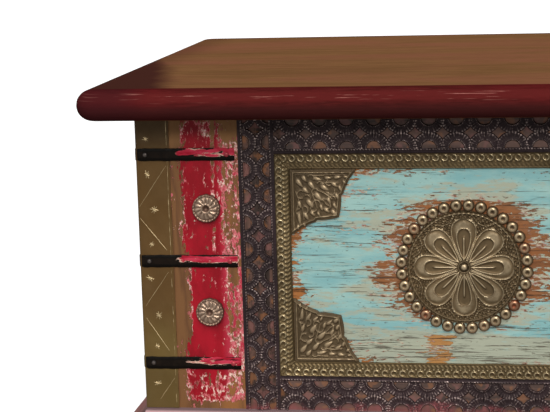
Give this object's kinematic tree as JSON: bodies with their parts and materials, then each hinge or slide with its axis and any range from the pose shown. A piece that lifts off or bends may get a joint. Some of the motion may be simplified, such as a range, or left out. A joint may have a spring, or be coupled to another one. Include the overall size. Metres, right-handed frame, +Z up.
{
  "type": "dowry chest",
  "caption": "Painted wooden dowry chest with a hinged bull-nosed lid, metal-clad corners, pierced friezes, round medallions, a moulded plinth and turned feet.",
  "frame": {"origin": "on the floor under the middle of the chest", "axes": "+X along the chest to the viewer's right, the front faces -Y, +Z up"},
  "size_m": [1.145, 0.62, 0.45],
  "materials": {
    "plinth_paint": "worn pinkish-red paint on wood",
    "lid_wood": "brown wood, maroon towards the edges, satin",
    "turquoise_paint": "distressed turquoise paint on wood",
    "red_paint": "distressed red paint on tan wood",
    "frame_wood": "brown wood, mostly under metal",
    "engraved_brass": "dark aged brass, engraved",
    "black_iron": "blackened iron strap with traces of paint",
    "pierced_metal": "dark oxidised pierced sheet",
    "stamped_brass": "aged stamped brass, worn bright on the high spots",
    "hinge_steel": "dull steel",
    "plain_wood": "plain oiled planks"
  },
  "bodies": {
    "chest": {"back_boards": "plain_wood", "corner_plates_front": "stamped_brass", "corner_plates_left": "stamped_brass", "corner_plates_right": "stamped_brass", "corner_sheet_back_left": "engraved_brass", "corner_sheet_back_right": "engraved_brass", "corner_sheet_front_left": "engraved_brass", "corner_sheet_front_right": "engraved_brass", "floor_boards": "plain_wood", "floor_cleats": "plain_wood", "foot_back_left": "plinth_paint", "foot_back_right": "plinth_paint", "foot_front_left": "plinth_paint", "foot_front_right": "plinth_paint", "frieze_front": "pierced_metal", "frieze_left": "pierced_metal", "frieze_right": "pierced_metal", "front_bottom_rail": "frame_wood", "front_centre_stile": "frame_wood", "front_panel_left": "turquoise_paint", "front_panel_right": "turquoise_paint", "front_stile_left": "red_paint", "front_stile_right": "red_paint", "front_top_rail": "frame_wood", "hinge_body_leaves": "hinge_steel", "hinge_pins": "hinge_steel", "hinge_screws_body": "hinge_steel", "left_bottom_rail": "frame_wood", "left_panel": "turquoise_paint", "left_stile_back": "red_paint", "left_stile_front": "red_paint", "left_top_rail": "frame_wood", "medallion_front_left": "stamped_brass", "medallion_front_right": "stamped_brass", "medallion_left": "stamped_brass", "medallion_right": "stamped_brass", "plinth_back": "plinth_paint", "plinth_front": "plinth_paint", "plinth_left": "plinth_paint", "plinth_right": "plinth_paint", "right_bottom_rail": "frame_wood", "right_panel": "turquoise_paint", "right_stile_back": "red_paint", "right_stile_front": "red_paint", "right_top_rail": "frame_wood", "ring_studs": "stamped_brass", "rosette_studs": "stamped_brass", "strap_nails": "black_iron", "straps_back_left": "black_iron", "straps_back_right": "black_iron", "straps_front_left": "black_iron", "straps_front_right": "black_iron", "trim_front_left": "stamped_brass", "trim_front_right": "stamped_brass", "trim_left": "stamped_brass", "trim_right": "stamped_brass"},
    "lid": {"lid_board": "lid_wood", "lid_battens": "plain_wood", "hinge_lid_leaves": "hinge_steel", "hinge_screws_lid": "hinge_steel"}
  },
  "joints": [
    {"name": "lid_hinge", "type": "hinge", "parent": "chest", "child": "lid", "pos_m": [0, 0.2645, 0.4155], "axis": [-1, 0, 0], "range_deg": [0, 95]}
  ]
}
